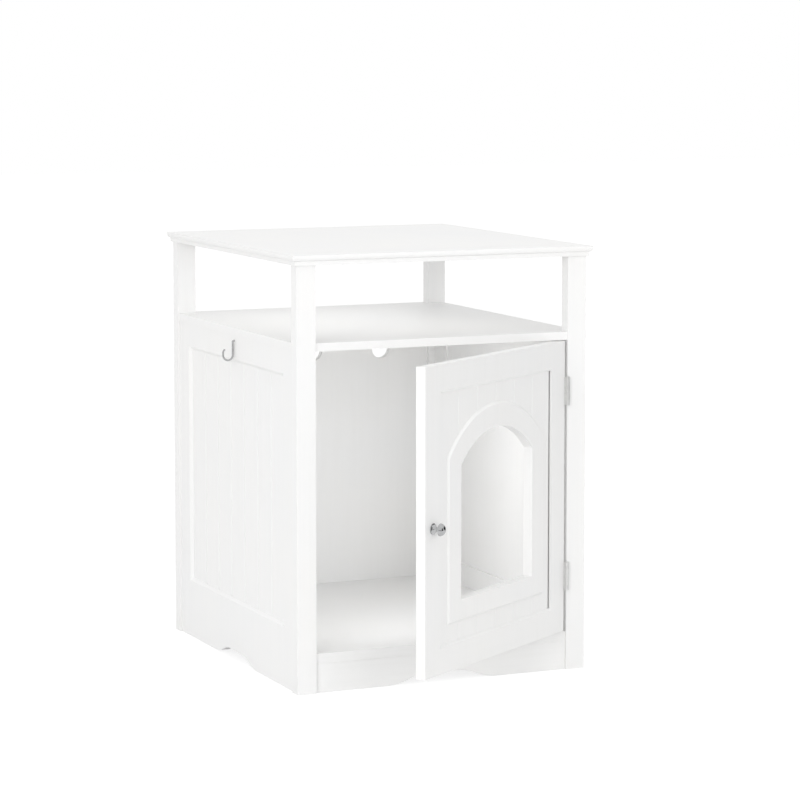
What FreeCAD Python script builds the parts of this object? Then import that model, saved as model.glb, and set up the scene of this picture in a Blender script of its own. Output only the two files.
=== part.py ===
import FreeCAD
import Part
import Sketcher
import math
import os
import re

# Cat litter box cabinet. Four corner posts carry a moulded top, a notched shelf and a closed
# compartment with beadboard sides, a vented back and one hinged door with an arched entrance.
#
# Millimetres. X runs left to right seen from the front, Y from front to back and Z up. The origin
# is on the ground under the middle of the four posts. The door stands open by open_angle degrees.

# ---------------------------------------------------------------- driving dimensions

SIZES = (
    ("width", 466, "across the posts, left to right"),
    ("depth", 524, "across the posts, front to back"),
    ("height", 640, "ground to the upper face of the top"),
    ("top_thick", 15, "top board"),
    ("top_overhang", 8, "top board beyond the posts"),
    ("lip_tall", 5, "straight upper edge of the top board"),
    ("lip_step", 0.8, "small step in, under that edge"),
    ("cove_radius", 3.7, "hollow moulding under the step"),
    ("post_wide", 30, "post along X"),
    ("post_deep", 20, "post along Y"),
    ("shelf_top", 512, "ground to the upper face of the shelf"),
    ("shelf_thick", 12, "shelf board"),
    ("shelf_inset", 2, "shelf edge behind the outer faces of the posts"),
    ("floor_under", 43, "ground to the lower face of the floor board"),
    ("floor_thick", 15, "floor board"),
    ("panel_inset", 3.5, "sides, apron and back behind the outer faces of the posts"),
    ("board_thick", 15, "side frames and front apron"),
    ("back_thick", 12, "back board"),
    ("back_clear", 14, "ground to the lower edge of the back board"),
    ("side_stile", 45.5, "width of a stile of the side frames"),
    ("side_top_rail", 41, "height of the upper rail of the side frames"),
    ("side_bottom_rail", 94, "height of the lower rail of the side frames"),
    ("door_rail", 41, "width of the stiles and rails of the door"),
    ("bevel_wide", 3.4, "bevel above and below the recess of the door, across the face"),
    ("bevel_deep", 2.6, "that bevel, into the board"),
    ("recess", 3, "beadboard of the door behind the face of its frame"),
    ("side_bevel_wide", 4.6, "bevel round the recess of a side, across the face"),
    ("side_bevel_deep", 4.4, "that bevel, into the board"),
    ("side_recess", 5, "beadboard of a side behind the face of its frame"),
    ("bead_thick", 6, "beadboard"),
    ("tongue", 7, "beadboard inside the groove of its frame"),
    ("tongue_play", 0.5, "free space at the bottom of that groove"),
    ("tenon_long", 20, "tenon on the end of a rail"),
    ("tenon_thick", 6, "thickness of that tenon"),
    ("tenon_shoulder", 9, "rail outside the tenon"),
    ("vee_wide", 1.6, "vee groove between two beads of the door"),
    ("vee_deep", 0.9, "depth of that groove"),
    ("side_vee_wide", 2.4, "vee groove between two beads of a side"),
    ("side_vee_deep", 2.4, "depth of that groove"),
    ("quirk_wide", 3, "sunk edge of the door's beadboard beside each stile"),
    ("quirk_deep", 2.4, "depth of that edge below the beads"),
    ("side_boards", 7, "beads of a side"),
    ("door_boards", 6, "beads of the door"),
    ("scallop_half", 86, "half the width of the scallop in apron and lower rails"),
    ("scallop_flat", 24, "half the flat length at the top of the scallop"),
    ("scallop_rise", 14, "height of the scallop"),
    ("hinge_gap", 1.5, "door to post on the hinge side"),
    ("latch_gap", 2.5, "door to post on the latch side"),
    ("door_gap", 1.5, "door to floor board and to shelf"),
    ("door_inset", 2, "closed door behind the front of the posts"),
    ("door_thick", 15, "stiles and rails of the door"),
    ("open_angle", 34.5, "the door at rest, from closed, in degrees"),
    ("arch_half", 102.5, "half the width of the arched opening"),
    ("arch_low", 98.5, "lower edge of the door to the opening"),
    ("arch_side", 192, "height of the straight sides of the opening"),
    ("arch_radius", 142, "radius of its arch"),
    ("arch_band", 35.5, "raised surround beside and above the opening"),
    ("arch_foot", 32, "raised surround below the opening"),
    ("sleeve_wall", 8, "wall of the sleeve that lines the opening"),
    ("sleeve_play", 0.3, "sleeve to the hole in the beadboard"),
    ("hinge_long", 42, "length of a hinge"),
    ("hinge_drop", 75.5, "upper edge of the door to the middle of the upper hinge"),
    ("hinge_rise", 83.5, "lower edge of the door to the middle of the lower hinge"),
    ("knuckles", 5, "knuckles of a hinge"),
    ("knuckle_play", 0.15, "free space between two knuckles"),
    ("barrel_radius", 3, "knuckle"),
    ("barrel_clear", 0.2, "knuckle in front of the posts"),
    ("pin_radius", 1.5, "hinge pin"),
    ("pin_play", 0.06, "pin to the knuckles of the door"),
    ("pin_head_radius", 2.4, "head of the pin"),
    ("pin_head_tall", 1.2, "height of that head"),
    ("leaf_thick", 1.2, "hinge leaf"),
    ("leaf_deep", 16, "pin to the rear edge of a leaf"),
    ("leaf_screw_deep", 10.5, "pin to the leaf's screws, along the leaf"),
    ("leaf_screw_rise", 13, "middle of the hinge to a screw"),
    ("small_screw_radius", 1.5, "screws of the hinges"),
    ("small_head_radius", 2.7, "countersunk head of such a screw"),
    ("small_screw_long", 12, "length of such a screw"),
    ("knob_rise", 210.5, "lower edge of the door to the knob"),
    ("knob_reach", 20, "face of the door to the front of the knob"),
    ("knob_base_radius", 7.9, "foot of the knob"),
    ("knob_neck_radius", 3.2, "neck of the knob"),
    ("knob_head_radius", 9, "head of the knob"),
    ("knob_foot", 1.2, "straight edge of the foot"),
    ("knob_bell", 6, "hollow curve from that edge to the neck"),
    ("knob_bell_radius", 8, "radius of that curve"),
    ("knob_neck", 1.6, "length of the neck"),
    ("knob_flare", 3.4, "underside of the head, from the neck to the rim"),
    ("knob_flare_radius", 11, "radius of its curve"),
    ("knob_rim", 0.6, "straight rim of the head"),
    ("knob_bore_deep", 9, "blind hole for its screw"),
    ("knob_screw_radius", 2, "screw of the knob"),
    ("knob_screw_head", 4, "radius of that screw's head"),
    ("knob_screw_head_tall", 2.5, "height of that head"),
    ("vent_radius", 16, "round vent in the back board"),
    ("vent_pitch", 120, "middle of one vent to the next"),
    ("vent_drop", 60, "shelf board to the middle of the vents"),
    ("hook_wire", 1.4, "radius of the wire of the hook"),
    ("hook_bend", 7.8, "radius of the hook's bend, to the middle of the wire"),
    ("hook_shank", 20, "straight back of the hook"),
    ("hook_tip", 3, "straight part of the hook's tip"),
    ("hook_curl", 6, "height of the end of the tip, which leans in"),
    ("hook_drop", 8, "shelf board to the hook's seat in the rail under it"),
    ("hook_place", -2.3, "middle of the cabinet to the hook, towards the back"),
    ("hook_neck", 1.6, "bend radius where the hook leaves the rail"),
    ("hook_seat", 8, "wire inside the rail"),
    ("dowel_rows", 3, "dowels one above another in each joint of sides and back"),
    ("dowel_radius", 4, "dowels of sides and shelf"),
    ("dowel_long", 30, "length of those dowels"),
    ("dowel_in_post", 10, "their end in a post"),
    ("dowel_in_shelf", 6, "their end in the shelf"),
    ("thin_dowel_radius", 3, "dowels of apron and back"),
    ("thin_dowel_long", 26, "length of those dowels"),
    ("thin_dowel_in_post", 13, "their end in a post"),
    ("hole_play", 0.1, "a fastener to the wall of its hole"),
    ("cam_radius", 6, "cam disc"),
    ("cam_deep", 12, "depth of a cam disc"),
    ("cam_slot_radius", 3.4, "hollow in the disc that takes the bolt"),
    ("cam_reach", 24, "edge of a board to the middle of its cam disc"),
    ("bolt_radius", 2.5, "cam bolt"),
    ("bolt_grip", 9, "threaded end of a cam bolt in its board"),
    ("bolt_head_radius", 3, "head of a cam bolt inside its disc"),
    ("cam_offset", 150, "middle of the cabinet to the cams, front to back"),
    ("shelf_dowel_offset", 75, "middle of the cabinet to the shelf dowels"),
    ("back_screw_radius", 2, "screws of the back board"),
    ("back_screw_head", 4, "radius of their countersunk heads"),
    ("back_screw_long", 35, "length of those screws"),
    ("back_screw_pitch", 150, "one such screw to the next"),
    ("latch_rise", 208.5, "lower edge of the door to its magnetic latch"),
    ("magnet_radius", 4, "magnet in the front post on the latch side"),
    ("magnet_long", 8, "length of that magnet"),
    ("magnet_proud", 1.5, "its end outside the post"),
    ("disc_radius", 5, "steel disc in the free edge of the door"),
    ("disc_thick", 1.5, "thickness of that disc"),
    ("press_play", 0.02, "a magnet or disc to the wall of its hole"),
)
NAMES = {name for name, value, meaning in SIZES}

# ---------------------------------------------------------------- places worked out from them

POST_X = "(width / 2 - post_wide)"
POST_Y = "(depth / 2 - post_deep)"
OUT_X = "(width / 2 - panel_inset)"
IN_X = "(width / 2 - panel_inset - board_thick)"
APRON_Y = "(-depth / 2 + panel_inset)"
BACK_Y = "(depth / 2 - panel_inset - back_thick)"
UNDER_TOP = "(height - top_thick)"
UNDER_SHELF = "(shelf_top - shelf_thick)"
FLOOR_TOP = "(floor_under + floor_thick)"
DOOR_LEFT = "(-width / 2 + post_wide + latch_gap)"
DOOR_RIGHT = "(width / 2 - post_wide - hinge_gap)"
DOOR_FACE = "(-depth / 2 + door_inset)"
DOOR_LOW = "(floor_under + floor_thick + door_gap)"
DOOR_HIGH = "(shelf_top - shelf_thick - door_gap)"
DOOR_MIDDLE = f"(({DOOR_LEFT} + {DOOR_RIGHT}) / 2)"
HINGE_X = "(width / 2 - post_wide - hinge_gap / 2)"
HINGE_Y = "(-depth / 2 - barrel_radius - barrel_clear)"
ARCH_FOOT = f"({DOOR_LOW} + arch_low)"
ARCH_CENTRE = f"({ARCH_FOOT} + arch_side - sqrt(arch_radius ^ 2 - arch_half ^ 2))"
SIDE_ACROSS = "(depth / 2 - post_deep - side_stile)"

doc = FreeCAD.newDocument("litter_box_cabinet")
sheet = doc.addObject("Spreadsheet::Sheet", "sizes")
for row, (name, value, meaning) in enumerate(SIZES, start=1):
    sheet.set(f"A{row}", str(value))
    sheet.setAlias(f"A{row}", name)
    sheet.set(f"B{row}", meaning)
doc.recompute()

parts = {}
blanks = {}
cutters = {}

# ---------------------------------------------------------------- helpers


def formula(text):
    """The text with each name of a size turned into a reference to its cell."""
    return re.sub(r"[a-z_]+", lambda word: "sizes." + word[0] if word[0] in NAMES else word[0], str(text))


def number(text):
    """What a formula comes to now."""
    return float(sheet.evalExpression(formula(text)))


def bind(item, **sizes):
    """Tie properties of an item to formulas."""
    for name, text in sizes.items():
        item.setExpression(name, formula(text))


def put(item, x="0", y="0", z="0"):
    """Tie the place of an item to formulas."""
    for axis, text in zip("xyz", (x, y, z)):
        item.setExpression("Placement.Base." + axis, formula(text))


def box(name, across, along, up):
    """A block between two formulas on each axis."""
    item = doc.addObject("Part::Box", name)
    put(item, across[0], along[0], up[0])
    bind(item, Length=f"{across[1]} - ({across[0]})", Width=f"{along[1]} - ({along[0]})")
    bind(item, Height=f"{up[1]} - ({up[0]})")
    return item


TURNS = {
    "+X": FreeCAD.Rotation(FreeCAD.Vector(0, 1, 0), 90),
    "-X": FreeCAD.Rotation(FreeCAD.Vector(0, 1, 0), -90),
    "+Y": FreeCAD.Rotation(FreeCAD.Vector(1, 0, 0), -90),
    "-Y": FreeCAD.Rotation(FreeCAD.Vector(1, 0, 0), 90),
    "+Z": FreeCAD.Rotation(),
    "-Z": FreeCAD.Rotation(FreeCAD.Vector(1, 0, 0), 180),
}


def rod(name, start, way, radius, length):
    """A round bar from a point, along +X, -X, +Y, -Y, +Z or -Z."""
    item = doc.addObject("Part::Cylinder", name)
    item.Placement.Rotation = TURNS[way]
    put(item, *start)
    bind(item, Radius=radius, Height=length)
    return item


def taper(name, start, way, radius, end_radius, length):
    """A cone from a point, with the radius there first."""
    item = doc.addObject("Part::Cone", name)
    item.Placement.Rotation = TURNS[way]
    put(item, *start)
    bind(item, Radius1=radius, Radius2=end_radius, Height=length)
    return item


def step(start, way, distance):
    """The point at a distance along a way from a point."""
    moved = list(start)
    index = "XYZ".index(way[1])
    moved[index] = f"({start[index]}) {way[0]} ({distance})"
    return tuple(moved)


def fuse(name, items):
    """One solid from several that overlap or meet."""
    item = doc.addObject("Part::MultiFuse", name)
    item.Shapes = items
    item.Refine = True
    return item


def group(name, items):
    """Separate solids in one node."""
    item = doc.addObject("Part::Compound", name)
    item.Links = items
    return item


def cut(name, base, tools):
    """A solid less one or more tools."""
    item = doc.addObject("Part::Cut", name)
    item.Base = base
    item.Tool = tools[0] if len(tools) == 1 else fuse(name + "_tools", tools)
    return item


def keep(name, item):
    """Make an item one of the cabinet's pieces."""
    item.Label = name
    parts[name] = item
    return item


def swing(item, x="0", y="0", z="0"):
    """Turn a piece of the door, given a place on the closed door, about the hinge pins."""
    turn = "open_angle * 1 deg"
    away_x = f"(({x}) - {HINGE_X})"
    away_y = f"(({y}) - {HINGE_Y})"
    item.setExpression("Placement.Rotation.Angle", formula("open_angle"))
    put(item, f"{HINGE_X} + {away_x} * cos({turn}) - {away_y} * sin({turn})",
        f"{HINGE_Y} + {away_x} * sin({turn}) + {away_y} * cos({turn})", z)
    return item


def on_door(item):
    """Stand a piece that was drawn on the closed door on the open one."""
    item.Placement.Rotation = FreeCAD.Rotation(FreeCAD.Vector(0, 0, 1), number("open_angle"))
    return swing(item)


# A corner of an outline is (across, up). An arc to a corner is (across, up, radius), with a
# positive radius where it bulges to the left of the way round and a negative one to the right.

PLANES = {"XY": "XY_Plane", "XZ": "XZ_Plane", "YZ": "YZ_Plane"}


def arc_between(start, end, radius):
    """The short arc between two points, and whether it starts at the first of them."""
    middle = (start + end) / 2
    half = (end - start) / 2
    left = FreeCAD.Vector(-half.y, half.x, 0).normalize()
    rise = math.sqrt(max(radius ** 2 - half.Length ** 2, 0))
    centre = middle - left * math.copysign(rise, radius)
    first, last = (end, start) if radius > 0 else (start, end)
    angles = [math.atan2(point.y - centre.y, point.x - centre.x) for point in (first, last)]
    if angles[1] < angles[0]:
        angles[1] += 2 * math.pi
    return Part.ArcOfCircle(Part.Circle(centre, FreeCAD.Vector(0, 0, 1), abs(radius)), *angles), first == start


def draw(body, name, plane, corners, closed=True):
    """A sketch on one of the body's own planes, each corner and radius tied to its formula."""
    item = body.newObject("Sketcher::SketchObject", name)
    origin = [face for face in body.Origin.OriginFeatures if face.Role == PLANES[plane]]
    item.AttachmentSupport = [(origin[0], "")]
    item.MapMode = "FlatFace"
    points = [FreeCAD.Vector(number(corner[0]), number(corner[1]), 0) for corner in corners]
    count = len(corners) if closed else len(corners) - 1
    ends = []
    radii = []
    for index in range(count):
        following = (index + 1) % len(corners)
        if len(corners[following]) == 3:
            arc, forward = arc_between(points[index], points[following], number(corners[following][2]))
            item.addGeometry(arc, False)
            ends.append((1, 2) if forward else (2, 1))
            radii.append((index, corners[following][2]))
        else:
            item.addGeometry(Part.LineSegment(points[index], points[following]), False)
            ends.append((1, 2))
    for index in range(count if closed else count - 1):
        following = (index + 1) % count
        pair = (index, ends[index][1], following, ends[following][0])
        item.addConstraint(Sketcher.Constraint("Coincident", *pair))
    for index, point in enumerate(points):
        edge, side = (index, ends[index][0]) if index < count else (index - 1, ends[index - 1][1])
        tie(item, ("DistanceX", -1, 1, edge, side, point.x), corners[index][0])
        tie(item, ("DistanceY", -1, 1, edge, side, point.y), corners[index][1])
    for edge, radius in radii:
        tie(item, ("Radius", edge, abs(number(radius))), f"abs({radius})")
    return item


def tie(item, constraint, text):
    """Add one constraint to a sketch and tie it to its formula."""
    index = item.addConstraint(Sketcher.Constraint(*constraint))
    item.setExpression(f"Constraints[{index}]", formula(text))


def prism(name, plane, corners, low, high):
    """A body: an outline on a plane, padded from one formula to another across that plane."""
    body = doc.addObject("PartDesign::Body", name)
    pad(body, name, plane, corners, low, high)
    return body


def pad(body, name, plane, corners, low, high):
    """Pad an outline in a body. The XZ plane faces -Y, so its pad starts at the high end."""
    outline = draw(body, name + "_outline", plane, corners)
    start = f"-({high})" if plane == "XZ" else low
    outline.setExpression("AttachmentOffset.Base.z", formula(start))
    item = body.newObject("PartDesign::Pad", name + "_pad")
    item.Profile = outline
    bind(item, Length=f"{high} - ({low})")
    return item


def pocket(body, name, plane, corners):
    """Cut an outline right through a body, both ways from the plane."""
    before = body_volume(body)
    item = body.newObject("PartDesign::Pocket", name)
    item.Profile = draw(body, name + "_outline", plane, corners)
    item.Type = 1
    item.Midplane = True
    if body_volume(body) >= before:
        raise RuntimeError(name + " cuts nothing")
    return item


def body_volume(body):
    doc.recompute()
    return body.Shape.Volume


def rectangle(left, right, low, high):
    return ((left, low), (right, low), (right, high), (left, high))


def stepped(name, board, across, along, up):
    """Add a block to what is cut out of a board."""
    cutters.setdefault(board, []).append(box(name, across, along, up))


# ---------------------------------------------------------------- top, posts, shelf, floor, back


def moulded(reach):
    """Outline of the top seen from an end: a straight lip, a step, a cove and a lower band."""
    edge = f"({reach} + top_overhang)"
    neck = f"({edge} - lip_step)"
    foot = f"({edge} - lip_step - cove_radius)"
    lip = "(height - lip_tall)"
    cove = "(height - lip_tall - cove_radius)"
    right = ((foot, UNDER_TOP), (foot, cove), (neck, lip, "-cove_radius"), (edge, lip), (edge, "height"))
    left = ((f"-{edge}", "height"), (f"-{edge}", lip), (f"-{neck}", lip))
    return right + left + ((f"-{foot}", cove, "-cove_radius"), (f"-{foot}", UNDER_TOP))


def top_board():
    edge_x = "(width / 2 + top_overhang)"
    edge_y = "(depth / 2 + top_overhang)"
    ends = prism("top_ends", "XZ", moulded("width / 2"), f"-{edge_y}", edge_y)
    sides = prism("top_sides", "YZ", moulded("depth / 2"), f"-{edge_x}", edge_x)
    item = doc.addObject("Part::Common", "top_blank")
    item.Base = ends
    item.Tool = sides
    blanks["top_panel"] = item


def posts():
    sides = {"left": ("-width / 2", "-" + POST_X), "right": (POST_X, "width / 2")}
    ends = {"front": ("-depth / 2", "-" + POST_Y), "rear": (POST_Y, "depth / 2")}
    for end, along in ends.items():
        for side, across in sides.items():
            name = f"post_{end}_{side}"
            blanks[name] = box(name + "_blank", across, along, ("0", UNDER_TOP))


def notched(x, notch_x, front, rear, notch_y):
    """A board outline with a notch for a post at each corner."""
    right = ((notch_x, front), (notch_x, f"-{notch_y}"), (x, f"-{notch_y}"), (x, notch_y), (notch_x, notch_y))
    left = ((f"-{notch_x}", rear), (f"-{notch_x}", notch_y), (f"-{x}", notch_y), (f"-{x}", f"-{notch_y}"))
    return ((f"-{notch_x}", front),) + right + ((notch_x, rear),) + left + ((f"-{notch_x}", f"-{notch_y}"),)


def shelf_and_floor():
    edge_x = "(width / 2 - shelf_inset)"
    edge_y = "(depth / 2 - shelf_inset)"
    shelf = notched(edge_x, POST_X, f"-{edge_y}", edge_y, POST_Y)
    blanks["shelf_panel"] = prism("shelf_blank", "XY", shelf, UNDER_SHELF, "shelf_top")
    bottom = notched(IN_X, POST_X, APRON_Y, BACK_Y, POST_Y)
    blanks["floor_panel"] = prism("floor_blank", "XY", bottom, "floor_under", FLOOR_TOP)


def back_board():
    rear = "(depth / 2 - panel_inset)"
    name = "back_blank"
    body = prism(name, "XZ", rectangle("-" + POST_X, POST_X, "back_clear", UNDER_SHELF), BACK_Y, rear)
    holes = body.newObject("Sketcher::SketchObject", "vent_outline")
    plane = [face for face in body.Origin.OriginFeatures if face.Role == "XZ_Plane"]
    holes.AttachmentSupport = [(plane[0], "")]
    holes.MapMode = "FlatFace"
    level = f"({UNDER_SHELF} - vent_drop)"
    centre = FreeCAD.Vector(-number("vent_pitch"), number(level), 0)
    holes.addGeometry(Part.Circle(centre, FreeCAD.Vector(0, 0, 1), number("vent_radius")), False)
    tie(holes, ("DistanceX", -1, 1, 0, 3, centre.x), "-vent_pitch")
    tie(holes, ("DistanceY", -1, 1, 0, 3, centre.y), level)
    tie(holes, ("Radius", 0, number("vent_radius")), "vent_radius")
    vent = body.newObject("PartDesign::Pocket", "vent")
    vent.Profile = holes
    vent.Type = 1
    vent.Midplane = True
    doc.recompute()
    repeat(body, vent, "vents", "X_Axis", "3", "2 * vent_pitch")
    blanks["back_panel"] = body


def repeat(body, feature, name, axis, count, length):
    """Copy a feature in a row, the last copy at the given length from the first."""
    item = body.newObject("PartDesign::LinearPattern", name)
    item.Originals = [feature]
    line = [edge for edge in body.Origin.OriginFeatures if edge.Role == axis]
    item.Direction = (line[0], [""])
    bind(item, Occurrences=count, Length=length)
    body.Tip = item
    return item


def scallop(name, plane, low, high):
    """The ogee cut-out at the lower edge of the apron and of the sides."""
    middle = "((scallop_half + scallop_flat) / 2)"
    run = "((scallop_half - scallop_flat) / 2)"
    bend = f"(({run} ^ 2 + (scallop_rise / 2) ^ 2) / scallop_rise)"
    crown = "(scallop_rise / 2)"
    right = ((middle, crown, f"1.5 * {bend}"), ("scallop_flat", "scallop_rise", f"-{bend}"))
    left = (("-scallop_flat", "scallop_rise"), (f"-{middle}", crown, f"-{bend}"))
    corners = (("scallop_half", "0"),) + right + left + (("-scallop_half", "0", f"1.5 * {bend}"),)
    return prism(name, plane, corners, low, high)


def apron():
    rear = f"({APRON_Y} + board_thick)"
    board = box("apron_board", ("-" + POST_X, POST_X), (APRON_Y, rear), ("0", "floor_under"))
    blanks["front_apron"] = cut("apron_blank", board, [scallop("apron_scallop", "XZ", APRON_Y, rear)])


# ---------------------------------------------------------------- framed beadboard panels


def slab(name, face, across, up, inward):
    """A block on a framed panel: across it, up it, and inward from its outer face."""
    near, far = inward
    if face == "door":
        return box(name, across, (f"{DOOR_FACE} + {near}", f"{DOOR_FACE} + {far}"), up)
    if face == "left":
        return box(name, (f"-{OUT_X} + {near}", f"-{OUT_X} + {far}"), across, up)
    return box(name, (f"{OUT_X} - ({far})", f"{OUT_X} - ({near})"), across, up)


def bevel(name, face, across, up):
    """The mouth of a recess. A side's is bevelled all round, the door's above and below only."""
    prefix = "" if face == "door" else "side_"
    beside = "0" if face == "door" else "side_bevel_wide"
    item = doc.addObject("Part::Wedge", name)
    bind(item, Xmin=f"{across[0]} - {beside}", Xmax=f"{across[1]} + {beside}")
    bind(item, Zmin=f"{up[0]} - {prefix}bevel_wide", Zmax=f"{up[1]} + {prefix}bevel_wide")
    bind(item, X2min=across[0], X2max=across[1], Z2min=up[0], Z2max=up[1])
    bind(item, Ymin="0", Ymax=prefix + "bevel_deep")
    turns = {"door": 0, "left": -90, "right": 90}
    item.Placement.Rotation = FreeCAD.Rotation(FreeCAD.Vector(0, 0, 1), turns[face])
    place = {"door": ("0", DOOR_FACE), "left": ("-" + OUT_X, "0"), "right": (OUT_X, "0")}
    put(item, *place[face])
    return item


def frame(prefix, face, outer, inner, thick):
    """Two stiles and two tenoned rails round a recess, grooved for the beadboard."""
    (left, right), (low, high) = outer
    (in_left, in_right), (in_low, in_high) = inner
    whole = ("0", thick)
    sunk = "recess" if face == "door" else "side_recess"
    grow = "(tongue + tongue_play)"
    mouth = bevel(prefix + "_mouth", face, inner[0], inner[1])
    groove = slab(prefix + "_groove", face, (f"{in_left} - {grow}", f"{in_right} + {grow}"),
                  (f"{in_low} - {grow}", f"{in_high} + {grow}"), (sunk, sunk + " + bead_thick"))
    middle = (f"({thick} - tenon_thick) / 2", f"({thick} + tenon_thick) / 2")
    rails = {"bottom": (f"{low}", in_low, f"{low} + tenon_shoulder", f"{in_low} - {grow}"),
             "top": (in_high, high, f"{in_high} + {grow}", f"{high} - tenon_shoulder")}
    mortises = {"low": [], "high": []}
    for key, (base, crown, tenon_base, tenon_crown) in rails.items():
        name = f"{prefix}_{key}_rail"
        body = slab(name + "_body", face, (in_left, in_right), (base, crown), whole)
        tenon_up = (tenon_base, tenon_crown)
        ends = {"low": (f"{in_left} - tenon_long", in_left), "high": (in_right, f"{in_right} + tenon_long")}
        tenons = []
        for end, across in ends.items():
            tenon = slab(f"{name}_tenon_{end}", face, across, tenon_up, middle)
            tenons.append(tenon)
            mortises[end].append(tenon)
        blanks[name] = cut(name + "_blank", fuse(name + "_whole", [body] + tenons), [mouth, groove])
    stiles = {"low": (left, in_left), "high": (in_right, right)}
    for end, across in stiles.items():
        body = slab(f"{prefix}_{end}_body", face, across, (low, high), whole)
        blanks[f"{prefix}_{end}"] = cut(f"{prefix}_{end}_blank", body, [mouth, groove] + mortises[end])


def beadboard(name, face, across, up, boards):
    """A thin board with vee grooves, its edges in the grooves of its frame."""
    left, right = (f"{across[0]} - tongue", f"{across[1]} + tongue")
    first = f"({across[0]} + ({across[1]} - ({across[0]})) / {boards})"
    run = f"(({across[1]} - ({across[0]})) * ({boards} - 2) / {boards})"
    if face == "door":
        lip = "(vee_wide / 2)"
        front = f"({DOOR_FACE} + recess)"
        corners = rectangle(left, right, front, f"{front} + bead_thick")
        vee = ((f"{first} - {lip}", front), (f"{first} + {lip}", front), (first, f"{front} + vee_deep"))
        axis = "X_Axis"
    else:
        lip = "(side_vee_wide / 2)"
        sign = "" if face == "right" else "-"
        other = "-" if face == "right" else "+"
        front = f"({sign}{OUT_X} {other} side_recess)"
        corners = rectangle(front, f"({front} {other} bead_thick)", left, right)
        vee = ((front, f"{first} - {lip}"), (f"{front} {other} side_vee_deep", first), (front, f"{first} + {lip}"))
        axis = "Y_Axis"
    body = prism(name, "XY", corners, f"{up[0]} - tongue", f"{up[1]} + tongue")
    vee_cut = pocket(body, name + "_vee", "XY", vee)
    repeat(body, vee_cut, name + "_vees", axis, f"{boards} - 1", run)
    return body


def side(face):
    outer = (("-" + POST_Y, POST_Y), ("0", UNDER_SHELF))
    window = (("-" + SIDE_ACROSS, SIDE_ACROSS), ("side_bottom_rail", f"({UNDER_SHELF} - side_top_rail)"))
    frame(face, face, outer, window, "board_thick")
    blanks[f"{face}_front_stile"] = blanks.pop(f"{face}_low")
    blanks[f"{face}_rear_stile"] = blanks.pop(f"{face}_high")
    low, high = ("-" + OUT_X, "-" + IN_X) if face == "left" else (IN_X, OUT_X)
    cutters[f"{face}_bottom_rail"] = [scallop(f"{face}_scallop", "YZ", low, high)]
    blanks[f"{face}_bead_panel"] = beadboard(f"{face}_bead_blank", face, window[0], window[1], "side_boards")


def arch(grow, foot):
    """The arched opening, grown sideways and upwards by one formula and downwards by another."""
    left = f"({DOOR_MIDDLE} - arch_half - ({grow}))"
    right = f"({DOOR_MIDDLE} + arch_half + ({grow}))"
    radius = f"(arch_radius + {grow})"
    shoulder = f"({ARCH_CENTRE} + sqrt({radius} ^ 2 - (arch_half + {grow}) ^ 2))"
    low = f"({ARCH_FOOT} - ({foot}))"
    return ((left, low), (right, low), (right, shoulder), (left, shoulder, f"-{radius}"))


def door():
    outer = ((DOOR_LEFT, DOOR_RIGHT), (DOOR_LOW, DOOR_HIGH))
    across = (f"({DOOR_LEFT} + door_rail)", f"({DOOR_RIGHT} - door_rail)")
    up = (f"({DOOR_LOW} + door_rail)", f"({DOOR_HIGH} - door_rail)")
    frame("door", "door", outer, (across, up), "door_thick")
    blanks["door_latch_stile"] = blanks.pop("door_low")
    blanks["door_hinge_stile"] = blanks.pop("door_high")
    board = beadboard("door_bead_blank", "door", across, up, "door_boards")
    front = f"({DOOR_FACE} + recess)"
    sunk = (front, f"{front} + quirk_deep")
    edges = {"latch": (f"{across[0]} - tongue", f"{across[0]} + quirk_wide"),
             "hinge": (f"{across[1]} - quirk_wide", f"{across[1]} + tongue")}
    for end, edge in edges.items():
        board.Tip = pocket(board, f"door_bead_{end}_quirk", "XY", rectangle(*edge, *sunk))
    grow = "(sleeve_wall + sleeve_play)"
    board.Tip = pocket(board, "door_bead_hole", "XZ", arch(grow, grow))
    blanks["door_bead_panel"] = board


def surround():
    """Raised band with a bevelled rim, and the sleeve that lines the opening behind it."""
    behind = f"({DOOR_FACE} + recess)"
    body = prism("surround_body", "XZ", arch("arch_band", "arch_foot"), DOOR_FACE, behind)
    doc.recompute()
    band = body.Tip
    face_y = number(DOOR_FACE)
    rim = [index for index, edge in enumerate(band.Shape.Edges, start=1)
           if all(abs(vertex.Y - face_y) < 1e-6 for vertex in edge.Vertexes)]
    bevelled = body.newObject("PartDesign::Chamfer", "surround_rim")
    bevelled.Base = (band, [f"Edge{index}" for index in rim])
    bevelled.ChamferType = "Two distances"
    bind(bevelled, Size="bevel_deep", Size2="bevel_wide")
    doc.recompute()
    if bevelled.Shape.BoundBox.XLength < band.Shape.BoundBox.XLength - 1e-6:
        raise RuntimeError("the bevel is on the wrong side of the rim")
    pad(body, "sleeve", "XZ", arch("sleeve_wall", "sleeve_wall"), behind, f"({DOOR_FACE} + door_thick)")
    pocket(body, "surround_opening", "XZ", arch("0", "0"))
    blanks["door_arch_surround"] = body


# ---------------------------------------------------------------- dowels, cams and screws


def peg(name, start, way, radius, length, boards):
    """A fastener and the hole for it in each board that it goes through."""
    hole = rod(name + "_hole", step(start, way, "-hole_play"), way, f"{radius} + hole_play",
               f"{length} + 2 * hole_play")
    for board in boards:
        cutters.setdefault(board, []).append(hole)
    return rod(name, start, way, radius, length)


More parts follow.
